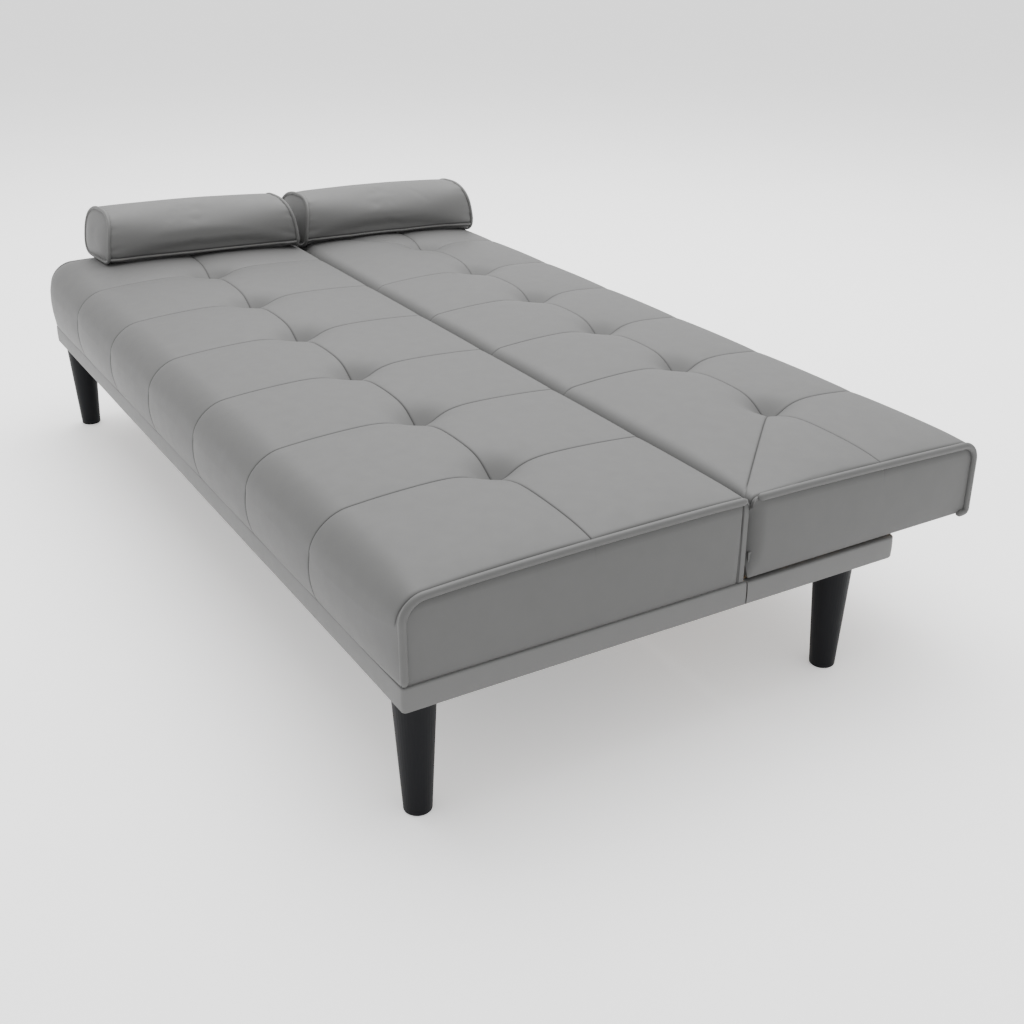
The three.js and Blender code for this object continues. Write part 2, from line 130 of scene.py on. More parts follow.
# Finishes. A noise is written as its scale, detail and roughness, and a bump as its strength and depth
# The seam colour darkens the seam lines, and is also the painted shade of the tuft pits and the back's fold-in
hideLook = dict(color=(0.083, 0.083, 0.0818), deep=(0.0716, 0.0716, 0.0704), seam=(0.020, 0.020, 0.0195),
                clouds=(2.6, 4, 0.55), cloudShare=0.5, mottle=(38, 5, 0.6), mottleShare=0.35,
                deepShare=0.25, pebbles=640, pebbleShare=0.7, pores=(1500, 2, 0.5), poreShare=0.5,
                grainBump=(0.16, 0.0006), waves=(9, 3, 0.5), waveBump=(0.10, 0.006), rough=0.56,
                roughMottle=0.12, roughSeam=0.25, roughPores=0.06, specular=0.30, sheen=0.05,
                sheenRough=0.5)


# Hide with a soft grain, darkened where the seam attribute is high: along the seams, and as painted shade in
# the tuft pits and the back's fold-in; a tone above one paints a lighter copy, standing in for light
def softHide(name, lightTone=1.0):
    look = hideLook
    f = Finish(name)
    base, deep = (tuple(c * lightTone for c in look[key]) for key in ("color", "deep"))
    cloudy = f.noise(*look["clouds"]) - 0.5
    mottled = f.noise(*look["mottle"]) - 0.5
    seam = f.attribute("seam")
    tint = f.clamp(cloudy * look["cloudShare"] + mottled * look["mottleShare"] + look["deepShare"])
    color = f.blend(seam, f.blend(tint, base, deep), look["seam"])
    pores = f.noise(*look["pores"])
    pebbles = f.cells(look["pebbles"], "DISTANCE_TO_EDGE")
    grain = f.bump(pebbles * look["pebbleShare"] + pores * look["poreShare"], *look["grainBump"])
    normal = f.bump(f.noise(*look["waves"]), *look["waveBump"], grain)
    rough = (look["rough"] + mottled * look["roughMottle"] + seam * look["roughSeam"]
             + (pores - 0.5) * look["roughPores"])
    return f.surface(color=color, rough=rough, normal=normal, specular=look["specular"], sheen=look["sheen"],
                     sheenRough=look["sheenRough"])


woodLook = dict(light=(0.62, 0.46, 0.29), dark=(0.40, 0.26, 0.14), along=(0.7, 9.0, 9.0),
                grain=(7, 6, 0.62), fibres=(60, 2, 0.5), fibreShare=0.6, rings=3.0, ringTwist=6.0,
                ringDetail=3.0, ringShare=0.55, bump=(0.25, 0.0008), rough=0.62, roughGrain=0.2,
                specular=0.3)


def sawnWood(name):
    look = woodLook
    f = Finish(name)
    stretched = f.stretch(look["along"])
    grain = f.noise(*look["grain"], stretched)
    rings = f.node("ShaderNodeTexWave", {"wave_type": "BANDS", "bands_direction": "Z"},
                   {"Vector": stretched, "Scale": look["rings"], "Distortion": look["ringTwist"],
                    "Detail": look["ringDetail"]})
    fibres = f.noise(*look["fibres"], stretched)
    mixed = rings * look["ringShare"] + grain * (1 - look["ringShare"])
    raised = fibres * look["fibreShare"] + rings * (1 - look["fibreShare"])
    return f.surface(color=f.blend(mixed, look["light"], look["dark"]), normal=f.bump(raised, *look["bump"]),
                     rough=look["rough"] + grain * look["roughGrain"], specular=look["specular"])


legLook = dict(color=(0.0022, 0.0025, 0.0036), worn=(0.0050, 0.0053, 0.0068), grime=(14, 4, 0.6),
               grimeShare=0.6, fine=(420, 2, 0.5), streaks=(30, 3, 0.5), along=(6.0, 6.0, 0.4),
               bump=(0.10, 0.0004), rough=0.42, roughGrime=0.10, roughStreaks=0.08, specular=0.13)


def satinBlack(name):
    look = legLook
    f = Finish(name)
    grime = f.noise(*look["grime"])
    fine = f.noise(*look["fine"])
    streaks = f.noise(*look["streaks"], f.stretch(look["along"]))
    rough = look["rough"] + grime * look["roughGrime"] + streaks * look["roughStreaks"]
    return f.surface(color=f.blend(grime * look["grimeShare"], look["color"], look["worn"]), rough=rough,
                     normal=f.bump(fine * 0.5 + streaks * 0.5, *look["bump"]), specular=look["specular"])


plateLook = dict(color=(0.030, 0.031, 0.034), dusty=1.9, dirt=(22, 5, 0.6), dirtShare=0.7, peel=900,
                 bump=(0.12, 0.0003), rough=0.42, roughDirt=0.16, metal=0.25, specular=0.5)


def coatedSteel(name):
    look = plateLook
    f = Finish(name)
    dirt = f.noise(*look["dirt"])
    color = f.blend(dirt * look["dirtShare"], look["color"], tuple(c * look["dusty"] for c in look["color"]))
    return f.surface(color=color, rough=look["rough"] + dirt * look["roughDirt"], metal=look["metal"],
                     normal=f.bump(f.cells(look["peel"], "F1"), *look["bump"]), specular=look["specular"])


steelLook = dict(color=(0.58, 0.58, 0.60), dark=(0.36, 0.36, 0.38), brush=(90, 3, 0.6),
                 along=(1.0, 1.0, 14.0), dull=(35, 4, 0.6), dullShare=0.5, bump=(0.12, 0.0003), rough=0.28,
                 roughDull=0.2)


def brightSteel(name):
    look = steelLook
    f = Finish(name)
    brushed = f.noise(*look["brush"], f.stretch(look["along"]))
    dull = f.noise(*look["dull"])
    return f.surface(color=f.blend(dull * look["dullShare"], look["color"], look["dark"]), metal=1.0,
                     rough=look["rough"] + dull * look["roughDull"], normal=f.bump(brushed, *look["bump"]))


mouldLook = dict(fine=(520, 2, 0.5), clouds=(26, 3, 0.5), cloudShare=0.6, darker=0.72, roughClouds=0.15,
                 bump=(0.12, 0.0003), specular=0.4)


def moulded(name, color, rough):
    look = mouldLook
    f = Finish(name)
    cloudy = f.noise(*look["clouds"])
    tint = f.blend(cloudy * look["cloudShare"], color, tuple(c * look["darker"] for c in color))
    return f.surface(color=tint, rough=rough + (cloudy - 0.5) * look["roughClouds"],
                     normal=f.bump(f.noise(*look["fine"]), *look["bump"]), specular=look["specular"])


clothLook = dict(dark=(0.008, 0.008, 0.009), light=(0.034, 0.034, 0.036), fibres=(260, 4, 0.7), dots=420,
                 share=0.6, bump=(0.4, 0.0006), rough=0.86, roughFibres=0.1, specular=0.2)


def spunCloth(name):
    look = clothLook
    f = Finish(name)
    fibres = f.noise(*look["fibres"])
    dots = f.cells(look["dots"], "F1")
    return f.surface(color=f.blend(fibres, look["dark"], look["light"]), specular=look["specular"],
                     rough=look["rough"] + (fibres - 0.5) * look["roughFibres"],
                     normal=f.bump(dots * look["share"] + fibres * look["share"], *look["bump"]))


# Welt, band and pillow are lighter copies of the same hide: painted light standing in for the light these
# parts take
finishes = dict(hide=softHide("soft_hide"), welt=softHide("welt_hide_lit", 1.04),
                band=softHide("band_hide_lit", 1.30), pillow=softHide("pillow_hide_lit", 1.22),
                wood=sawnWood("frame_wood_grain"), leg=satinBlack("leg_satin_black"),
                plate=coatedSteel("plate_coat"), steel=brightSteel("bright_steel"),
                cloth=spunCloth("dust_cloth_black"),
                nylon=moulded("bushing_nylon", (0.75, 0.74, 0.69), 0.4),
                rubber=moulded("pad_rubber_black", (0.018, 0.018, 0.018), 0.8))
print("finishes made")


# Mesh helpers
seamSteps = (0.0, 0.0007, 0.0016, 0.0034, 0.0070, 0.0130, 0.0200)
cordLook = dict(sides=12, tip=0.55, merge=1e-6, arcStep=0.0025, straight=0.002, mostOfSide=0.9)


# A smooth piece that rides a body. Edges bent past the sharp angle stay crisp, points within merge become one
def addPiece(name, points, faces, finish, body, sharp=0, merge=0):
    mesh = bpy.data.meshes.new(name)
    mesh.from_pydata([tuple(map(float, p)) for p in points], [], faces)
    b = bmesh.new()
    b.from_mesh(mesh)
    if merge:
        bmesh.ops.remove_doubles(b, verts=b.verts, dist=merge)
    bmesh.ops.recalc_face_normals(b, faces=b.faces)
    b.to_mesh(mesh)
    b.free()
    mesh.polygons.foreach_set("use_smooth", [True] * len(mesh.polygons))
    if sharp:
        mesh.set_sharp_from_angle(angle=math.radians(sharp))
    mesh.materials.append(finishes[finish])
    piece = bpy.data.objects.new(name, mesh)
    bpy.context.scene.collection.objects.link(piece)
    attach(piece, body)
    return piece


# How dark the hide is drawn at each point
def setSeam(piece, values):
    layer = piece.data.attributes.new("seam", "FLOAT", "POINT")
    layer.data.foreach_set("value", np.asarray(values, np.float32))


# Faces between rings of points that follow each other, with or without one from the last ring to the first
def tubeFaces(rings, around, closed=False):
    faces = []
    for i in range(rings if closed else rings - 1):
        j = (i + 1) % rings
        for k in range(around):
            n = (k + 1) % around
            faces.append((i * around + k, i * around + n, j * around + n, j * around + k))
    return faces


def ease(t):
    t = np.clip(t, 0.0, 1.0)
    return t * t * (3 - 2 * t)


# Places from low to high, crowded together at the seams
def stations(low, high, seams, step, close=seamSteps, extra=()):
    marks = {round(low, 6), round(high, 6), *[round(e, 6) for e in extra]}
    for seam in seams:
        marks |= {round(place, 6) for d in close for place in (seam - d, seam + d) if low < place < high}
    ordered = sorted(marks)
    placed = [ordered[0]]
    for a, b in zip(ordered, ordered[1:]):
        count = max(1, math.ceil((b - a) / step))
        placed += [a + (b - a) * (i + 1) / count for i in range(count)]
    return np.array(placed)


# A cord of welt along a path of points, drawn in at its two tips
def weltPiece(name, path, radius, finish, body, sides=cordLook["sides"], closed=False, side=Vector((1, 0, 0))):
    path = [Vector(p) for p in path]
    count = len(path)
    points = []
    for i, p in enumerate(path):
        before = path[i - 1] if i > 0 or closed else p
        after = path[(i + 1) % count] if i < count - 1 or closed else p
        forward = (after - before).normalized()
        across = (side - forward * side.dot(forward)).normalized()
        up = forward.cross(across)
        size = radius * cordLook["tip"] if not closed and i in (0, count - 1) else radius
        angles = [2 * math.pi * k / sides for k in range(sides)]
        points += [p + (across * math.cos(a) + up * math.sin(a)) * size for a in angles]
    faces = tubeFaces(count, sides, closed)
    if not closed:
        faces.append(tuple(range(sides)))
        faces.append(tuple((count - 1) * sides + k for k in range(sides)))
    return addPiece(name, points, faces, finish, body, merge=cordLook["merge"])


# Corners of a path rounded with arcs of the radius given for each, as points no further apart than step
def roundedPath(corners, radii, step=0.006):
    corners = [Vector(c) for c in corners]
    bent = [corners[0]]
    for a, b, c, radius in zip(corners, corners[1:], corners[2:], radii):
        inward = (a - b).normalized()
        onward = (c - b).normalized()
        turn = math.acos(max(-1, min(1, inward.dot(onward))))
        if turn > math.pi - cordLook["straight"]:
            bent.append(b)
            continue
        shortest = min((a - b).length, (c - b).length)
        r = min(radius, cordLook["mostOfSide"] * shortest * math.tan(turn / 2))
        reach = r / math.tan(turn / 2)
        centre = b + (inward + onward).normalized() * (r / math.sin(turn / 2))
        first = b + inward * reach - centre
        last = b + onward * reach - centre
        arc = math.pi - turn
        count = max(3, math.ceil(arc * r / cordLook["arcStep"]))
        for k in range(count + 1):
            w = k / count
            bent.append(centre + (first * math.sin((1 - w) * arc) + last * math.sin(w * arc)) / math.sin(arc))
    bent.append(corners[-1])
    dense = [bent[0]]
    for a, b in zip(bent, bent[1:]):
        count = max(1, math.ceil((b - a).length / step))
        dense += [a.lerp(b, (k + 1) / count) for k in range(count)]
    return dense


# Tufted halves
seatLow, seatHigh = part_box("seat_cushion")
backLow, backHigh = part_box("back_cushion")
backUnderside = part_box("back_rear_rail")[0].z
foldLine = (seatHigh.y + backLow.y) / 2

tuftLook = dict(count=6, pitch=0.240, cornerIn=0.020, broad=0.0125, wide=0.050, crease=0.0150,
                creaseLong=0.029, farSide=0.033, nearSide=0.0105, pinch=0.0042, pinchWide=0.013,
                pinchFar=0.20, pinchReach=0.080, groove=0.0013, grooveWide=0.0012, crown=0.0135,
                crownEnd=0.050, crownFar=0.024, panel=0.0045, panelWide=0.05, tuck=0.0022, tuckWide=0.0022,
                edgeAt=0.0067, farReach=0.30)

# Faces: how they bulge, how far they push the top edges out, and how their feet round in
faceLook = dict(pushReach=0.065, pushShare=0.81, risesFrom=0.02, risesBy=0.70, puff=0.003, puffed=0.008,
                groove=0.0016, faint=0.6, plump=0.004, footShare=0.8, curlReach=0.030)

# Dark lines along the seams: the long seam and the cross seams fade towards the far end. The pit term is
# painted shade, darkening the hide round each tuft pit
lineLook = dict(line=0.0009, alongLeast=0.40, alongMost=0.9, alongFrom=-0.45, alongRun=0.8,
                crossLeast=0.55, crossFrom=-0.8, crossRun=0.6, slantAlong=0.6, slantRear=0.5,
                slantRun=0.012, edge=0.9, edgeLine=0.0013, pitShade=0.30, pitShadeWide=0.011)

# End panels: the groove under the welt, the strip by the fold of the seat and the fold-in of the back, which
# is darkened with painted shade
endLook = dict(ramp=6, groove=0.0012, grooveAt=0.0062, grooveWide=0.0016, stripLean=0.002, stripUp=0.0008,
               stripGroove=0.0016, stripWide=0.0011, stripLine=0.0010, stripDark=0.7, line=0.0013,
               lineAt=0.0060, dark=0.8, curlWide=0.024, curlPower=1.2, curlFoot=0.006, curlRise=0.020,
               lidGap=0.004, lidRise=0.008, curlShade=22)

# Grid: steps of its stations, and the extra ones where the surface turns
gridLook = dict(step=0.0085, hair=0.0003, slip=0.0001, arcs=10, risers=9, footRows=(0.15, 0.45), sharp=50,
                fill=0.9, edgeSteps=(0.0015, 0.0035, 0.0048, 0.0058, 0.0067, 0.0076, 0.0088, 0.011, 0.015),
                stripSteps=(-0.002, -0.0008, 0, 0.0008, 0.002), roofSteps=(0.0075, 0.0060, 0.0046, 0.0030))

seatLook = dict(tuftAt=0.523, trim=(0.0, 0.0024), fall=(0.62, 0.62), frontEnd=0.034, frontFar=0.050,
                frontMid=0.052, rearEnd=0.010, rearMid=0.014, low=0.005, pipeFront=-0.0150,
                pipeRear=-0.0050, pipeArch=0.0045, farLift=(0.014, 0.0), bulgeFront=0.0105,
                bulgeRear=-0.0015, endBulge=0.0025, slant=False, skirt=0.0, skirtEnd=0.0, strip=0.0095,
                curl=0.0, inset=0.0042)
backLook = dict(tuftAt=0.557, trim=(0.0004, 0.0), fall=(1.0, 0.62), frontEnd=0.010, frontFar=0.010,
                frontMid=0.027, rearEnd=0.027, rearMid=0.034, low=0.003, pipeFront=0.0020,
                pipeRear=-0.0080, pipeArch=0.0015, farLift=(0.0, -0.009), bulgeFront=-0.0005,
                bulgeRear=0.005, endBulge=0.003, slant=True, skirt=0.0012, skirtEnd=0.0057, strip=0.0,
                curl=0.0135, inset=0.0042)


# A soft line of the width given, full at no distance from it
def soft(distance, width):
    return np.exp(-(distance / width) ** 2)


# One tufted half: stations along the bed, steps round its section, and a panel at each end
class TuftedHalf:
    def __init__(self, low, high, under, recess, look):
        self.look = look
        self.half = (high.x - low.x) / 2 - look["inset"]
        self.y0, self.y1 = low.y + look["trim"][0], high.y - look["trim"][1]
        self.z0, self.top, self.recess = under, high.z, recess
        self.tuftY = low.y + (high.y - low.y) * look["tuftAt"]
        first = -(tuftLook["count"] - 1) / 2
        self.seams = [(first + i) * tuftLook["pitch"] for i in range(tuftLook["count"])]
        self.cornerX = self.half - tuftLook["cornerIn"]

    def slants(self, seam):
        return self.look["slant"] and abs(seam) > max(self.seams) - 1e-6

    # Where the cross seam of a tuft has got to at depth y: the end ones of the back run to the corner
    def seamAt(self, seam, y):
        if not self.slants(seam):
            return seam + 0 * y
        share = np.clip((self.tuftY - y) / (self.tuftY - self.y0), 0, 1)
        return math.copysign(1, seam) * (abs(seam) + (self.cornerX - abs(seam)) * share)

    # Station u taken to its x at depth y, which keeps slanted seams on the grid
    def warp(self, u, y):
        known = [-self.half, *self.seams, self.half]
        there = [-self.half, *[float(self.seamAt(s, y)) for s in self.seams], self.half]
        return np.interp(u, known, there)

    # Height of the line that the end welts follow; the far end sits a little off level
    def pipeHeight(self, y, x=None):
        look = self.look
        share = np.clip((y - self.y0) / (self.y1 - self.y0), 0, 1)
        z = self.top + look["pipeFront"] + (look["pipeRear"] - look["pipeFront"]) * share
        z = z + look["pipeArch"] * np.sin(math.pi * share ** 0.75)
        if x is not None:
            lift = look["farLift"][0] + (look["farLift"][1] - look["farLift"][0]) * share
            z = z + lift * np.exp(-(np.asarray(x) + self.half) / tuftLook["farReach"])
        return z

    # Nothing at the end seams, full a little way in from them
    def endFall(self, x):
        reach = np.where(np.asarray(x) > 0, tuftLook["crownEnd"], tuftLook["crownFar"])
        return 1 - np.exp(-np.maximum(self.half - np.abs(x), 0) / reach)

    # Distances to the nearest cross seam, to the long seam and to the nearest tuft
    def seamField(self, x, y):
        gaps = []
        for s in self.seams:
            slope = 1.0
            if self.slants(s):
                run = (self.cornerX - abs(s)) / (self.tuftY - self.y0)
                slope = np.where(y < self.tuftY, 1 / math.hypot(1, run), 1.0)
            gaps.append(np.abs(x - self.seamAt(s, y)) * slope)
        toTuft = np.min([np.hypot(x - s, y - self.tuftY) for s in self.seams], axis=0)
        return np.min(gaps, axis=0), np.abs(y - self.tuftY), toTuft

    # Height of the top before its long edges are rounded off
    def topHeight(self, x, y):
        t = tuftLook
        across, along, toTuft = self.seamField(x, y)
        middle = (self.y0 + self.y1) / 2
        share = np.abs(y - middle) / ((self.y1 - self.y0) / 2)
        front, rear = self.look["fall"]
        fall = np.where(y < middle, front * share ** (3 if front < 1 else 2), rear * share ** 3)
        crown = t["crown"] * self.endFall(x) * (1 - fall)
        wide = t["panelWide"]
        panel = t["panel"] * (1 - np.exp(-across / wide)) * (1 - np.exp(-along / wide)) * (1 - share ** 4)
        deep = t["broad"] * soft(toTuft, t["wide"])
        for s in self.seams:
            off = x - s
            side = np.where(off < 0, soft(off, t["farSide"]), np.exp(-np.abs(off) / t["nearSide"]))
            deep = deep + t["crease"] * side * soft(y - self.tuftY, t["creaseLong"])
        near = t["pinchFar"] + (1 - t["pinchFar"]) * np.exp(-toTuft / t["pinchReach"])
        pinch = t["pinch"] * near * (np.exp(-across / t["pinchWide"]) + np.exp(-along / t["pinchWide"]))
        groove = t["groove"] * np.maximum(soft(across, t["grooveWide"]), soft(along, t["grooveWide"]))
        tuck = t["tuck"] * soft(self.half - np.abs(x) - t["edgeAt"], t["tuckWide"])
        return self.pipeHeight(y, x) + crown + panel * self.endFall(x) - deep - pinch - groove - tuck

    def topOf(self, x, y):
        look = self.look
        mid = self.endFall(x) ** 1.5
        frontEnd = np.where(x > 0, look["frontEnd"], look["frontFar"])
        front = frontEnd + (look["frontMid"] - frontEnd) * mid
        rear = look["rearEnd"] + (look["rearMid"] - look["rearEnd"]) * mid
        z = self.topHeight(x, y)
        for radius, reach in ((front, y - self.y0), (rear, self.y1 - y)):
            into = np.clip(radius - reach, 0, radius)
            z = z - (radius - np.sqrt(np.maximum(radius ** 2 - into ** 2, 0)))
        return z

    # Seam lines, with painted shade round the tuft pits
    def seamLinesAndPitShade(self, x, y):
        look = lineLook
        across, along, toTuft = self.seamField(x, y)
        shown = ease((x - look["alongFrom"]) / look["alongRun"])
        fade = look["alongLeast"] + (look["alongMost"] - look["alongLeast"]) * shown
        shown = ease((x - look["crossFrom"]) / look["crossRun"])
        cross = soft(across, look["line"]) * (look["crossLeast"] + (1 - look["crossLeast"]) * shown)
        if self.look["slant"]:
            fade = fade * look["slantAlong"]
            cross = cross * np.where(y > self.tuftY, look["slantRear"], 1.0)
            cross = cross * ease((y - self.y0 - look["slantRun"]) / look["slantRun"])
        edge = look["edge"] * soft(self.half - np.abs(x) - tuftLook["edgeAt"], look["edgeLine"])
        # Painted shade round each tuft pit
        pitShade = look["pitShade"] * soft(toTuft, look["pitShadeWide"])
        return np.max([cross, fade * soft(along, look["line"]), edge, pitShade], axis=0)

    # How far the faces push the rounded top edges out with them
    def push(self, x, y):
        reach = faceLook["pushReach"]
        front = np.clip(1 - (y - self.y0) / reach, 0, 1) ** 2 * self.look["bulgeFront"]
        rear = np.clip(1 - (self.y1 - y) / reach, 0, 1) ** 2 * self.look["bulgeRear"]
        return faceLook["pushShare"] * self.endFall(x) * (rear - front)

    # Face at y0 or y1: rows from its foot to its top edge
    def wall(self, u, y, outward, bulge, rows):
        face, low = faceLook, self.look["low"]
        start = self.warp(u, y)
        top = self.topOf(start, np.full_like(start, y))
        across = np.min([np.abs(start - self.seamAt(s, y)) for s in self.seams], axis=0)
        groove = face["groove"] * soft(across, tuftLook["grooveWide"])
        mask = soft(across, lineLook["line"]) * (1 if abs(bulge) > face["plump"] else face["faint"])
        steps = []
        for r in rows:
            x = start
            z = self.z0 + (top - self.z0) * r
            swell = math.sin(math.pi * (face["risesFrom"] + face["risesBy"] * r)) ** 0.8
            puff = bulge * swell * self.endFall(x)
            if outward < 0 and bulge > face["puffed"]:
                panel = 1 - np.exp(-across / tuftLook["panelWide"])
                puff = puff + face["puff"] * swell * panel * self.endFall(x)
            up = z - self.z0
            foot = np.where(up < low, low - np.sqrt(np.maximum(low ** 2 - (low - up) ** 2, 0)), 0)
            place = y + outward * (puff - groove - foot * face["footShare"])
            if self.look["curl"] and outward < 0:
                edge = np.clip((np.abs(x) - self.half + face["curlReach"]) / face["curlReach"], 0, 1) ** 2
                hollow = np.array([self.curlAt(self.y0, zz, tt) for zz, tt in zip(z, top)])
                x = x - np.sign(x) * edge * hollow
            steps.append((x, place, z, mask))
        return steps

    # Stations along the bed, places across it, and shares of the height up its faces
    def layOut(self):
        look, grid = self.look, gridLook
        hair = grid["hair"]
        hems = (look["skirtEnd"], look["skirtEnd"] + hair) if look["skirtEnd"] else ()
        marks = [v for d in (*hems, *grid["edgeSteps"]) for v in (self.half - d, d - self.half)]
        u = stations(-self.half, self.half, self.seams, grid["step"], extra=marks)
        deepest = max(look["frontMid"], look["frontEnd"])
        rearmost = max(look["rearMid"], look["rearEnd"])
        bends = [1 - math.cos(math.pi / 2 * k / grid["arcs"]) for k in range(grid["arcs"])]
        middle = stations(self.y0 + deepest, self.y1 - rearmost, [self.tuftY], grid["step"])
        ys = [*[self.y0 + deepest * b for b in bends], *middle, *[self.y1 - rearmost * b for b in bends]]
        if look["strip"]:
            ys += [self.y1 - look["strip"] + d for d in grid["stripSteps"]]
        if look["skirt"]:
            ys += [v for s in (look["skirt"], look["skirt"] + hair) for v in (self.y0 + s, self.y1 - s)]
        height = self.top - self.z0
        low = look["low"] / height
        roof = [1 - d / height for d in grid["roofSteps"]]
        rise = (roof[0] - low) / grid["risers"]
        rows = sorted([0, *[low * share for share in grid["footRows"]], low, 1, *roof,
                       *[low + rise * k for k in range(1, grid["risers"])]])
        return u, np.array(sorted({round(v, 6) for v in ys})), rows

    # Underside at depth y, recessed inside the skirt that hangs over the frame
    def underRow(self, u, y):
        look = self.look
        x = self.warp(u, y)
        lift = x * 0
        if look["skirt"]:
            slip = gridLook["slip"]
            within = self.y0 + look["skirt"] < y - slip and y + slip < self.y1 - look["skirt"]
            inside = (np.abs(x) < self.half - look["skirtEnd"] - slip) & within
            lift = np.where(inside, self.recess - self.z0, 0)
        foot = look["low"] * faceLook["footShare"]
        place = self.y0 + foot + (y - self.y0) * (1 - 2 * foot / (self.y1 - self.y0))
        return x, np.full_like(x, place), self.z0 + lift, x * 0

    # Up the front face, over the top, down the rear face and back underneath, then the two end panels
    def build(self, name, body, node, wells=()):
        look = self.look
        u, ys, rows = self.layOut()
        columns = self.wall(u, self.y0, -1, look["bulgeFront"], rows)
        for y in ys[1:-1]:
            x = self.warp(u, y)
            yy = np.full_like(x, y)
            columns.append((x, yy + self.push(x, yy), self.topOf(x, yy), self.seamLinesAndPitShade(x, yy)))
        columns += self.wall(u, self.y1, 1, look["bulgeRear"], rows)[::-1]
        columns += [self.underRow(u, y) for y in ys[1:-1][::-1]]
        loop = len(columns)
        points = list(np.array([c[:3] for c in columns]).transpose(2, 0, 1).reshape(-1, 3))
        masks = list(np.array([c[3] for c in columns]).T.reshape(-1))
        faces = [(a, d, c, b) for a, b, c, d in tubeFaces(len(u), loop)]
        for first, side in ((0, -1), ((len(u) - 1) * loop, 1)):
            ring = [first + j for j in range(loop)]
            self.endPanel(ring, side, rows, len(ys) - 2, points, masks, faces)
        piece = addPiece(name, points, faces, "hide", body, gridLook["sharp"])
        setSeam(piece, masks)
        if wells:
            cutWells(piece, wells)
        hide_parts(node)
        return piece

    # Grid of one end panel, laid between the four sides of its ring
    def endPanel(self, ring, side, rows, span, points, masks, faces):
        high = len(rows)
        table = {}
        for c in range(span + 2):
            for r in range(high):
                if c == 0:
                    table[c, r] = ring[r]
                elif c == span + 1:
                    table[c, r] = ring[high + span + (high - 1 - r)]
                elif r == high - 1:
                    table[c, r] = ring[high + c - 1]
                elif r == 0:
                    table[c, r] = ring[2 * high + 2 * span - c]
                else:
                    _, y, roof = points[ring[high + c - 1]]
                    base = points[ring[2 * high + 2 * span - c]][2]
                    z = base + (roof - base) * rows[r]
                    table[c, r] = len(points)
                    points.append(np.array([side * (self.half + self.endShape(y, z, roof)), y, z]))
                    # Painted shade where the back's end panel folds in
                    foldShade = endLook["curlShade"] * self.curlAt(y, z, roof)
                    masks.append(max(self.endMask(y, roof - z), foldShade))
        for c in range(span + 1):
            for r in range(high - 1):
                faces.append((table[c, r], table[c + 1, r], table[c + 1, r + 1], table[c, r + 1]))

    # How far an end panel stands out from its seam
    def endShape(self, y, z, roof):
        look, end = self.look, endLook
        share = (y - self.y0) / (self.y1 - self.y0)
        rise = (z - self.z0) / max(roof - self.z0, 1e-6)
        edges = min(1, end["ramp"] * share, end["ramp"] * (1 - share)) ** 0.7
        swell = look["endBulge"] * edges * math.sin(math.pi * rise) ** 0.5
        shape = swell - end["groove"] * soft(roof - z - end["grooveAt"], end["grooveWide"])
        if look["strip"]:
            seam = self.y1 - look["strip"] - end["stripLean"] * (1 - rise)
            shape += end["stripUp"] * (y > seam) - end["stripGroove"] * soft(y - seam, end["stripWide"])
        return shape - self.curlAt(y, z, roof)

    # How far the end panel turns in where it meets the fold
    def curlAt(self, y, z, roof):
        if not self.look["curl"]:
            return 0.0
        end = endLook
        near = max(0, 1 - (y - self.y0) / end["curlWide"])
        shut = min(1, max(0, (z - self.z0 - end["curlFoot"] - (y - self.y0)) / end["curlRise"]))
        lid = min(1, max(0, (roof - z - end["lidGap"]) / end["lidRise"]))
        return self.look["curl"] * near ** end["curlPower"] * shut * lid

    def endMask(self, y, under):
        end = endLook
        mask = end["dark"] * soft(under - end["lineAt"], end["line"])
        if self.look["strip"]:
            mask = max(mask, end["stripDark"] * soft(y - (self.y1 - self.look["strip"]), end["stripLine"]))
        return mask


# Cuts boxes, each from low to high, out of a piece for the hinges to sit in
def cutWells(piece, wells):
    mesh = bpy.data.meshes.new("wellShape")
    b = bmesh.new()
    for low, high in wells:
        for v in bmesh.ops.create_cube(b, size=1)["verts"]:
            v.co = Vector([(low[i] + high[i]) / 2 + v.co[i] * (high[i] - low[i]) for i in range(3)])
    b.to_mesh(mesh)
    b.free()
    cutter = bpy.data.objects.new("wellShape", mesh)
    bpy.context.scene.collection.objects.link(cutter)
    cut = piece.modifiers.new("well", "BOOLEAN")
    cut.object = cutter
    cut.operation = "DIFFERENCE"
    cut.solver = "EXACT"
    graph = bpy.context.evaluated_depsgraph_get()
    shaped = bpy.data.meshes.new_from_object(piece.evaluated_get(graph))
    piece.modifiers.clear()
    piece.data = shaped
    bpy.data.objects.remove(cutter)


# Wells of the hinges: room beside the pivot and the pawl spring, above the plate, and out past the fold and
# the underside, which is recessed a little above the frame
wellLook = dict(pivotRoom=0.002, springRoom=0.0043, plateRoom=0.005, rearEnd=0.154, past=0.02,
                recess=0.0005)


def hingeWells():
    look = wellLook
    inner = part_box("pawl_spring_right")[0].x - look["springRoom"]
    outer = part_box("hinge_pivot_right")[1].x + look["pivotRoom"]
    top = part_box("hinge_back_plate_right")[1].z + look["plateRoom"]
    front, foot = backLow.y - look["past"], backUnderside - look["past"]
    return [((min(a, b), front, foot), (max(a, b), look["rearEnd"], top))
            for a, b in ((outer, inner), (-outer, -inner))]


seat = TuftedHalf(seatLow, seatHigh, seatLow.z, seatLow.z, seatLook)
back = TuftedHalf(backLow, backHigh, backUnderside, backLow.z + wellLook["recess"], backLook)
seat.build("seatCushionCover", "base", "seat_cushion")
back.build("backCushionCover", "back", "back_cushion", hingeWells())
print("tufted halves made")


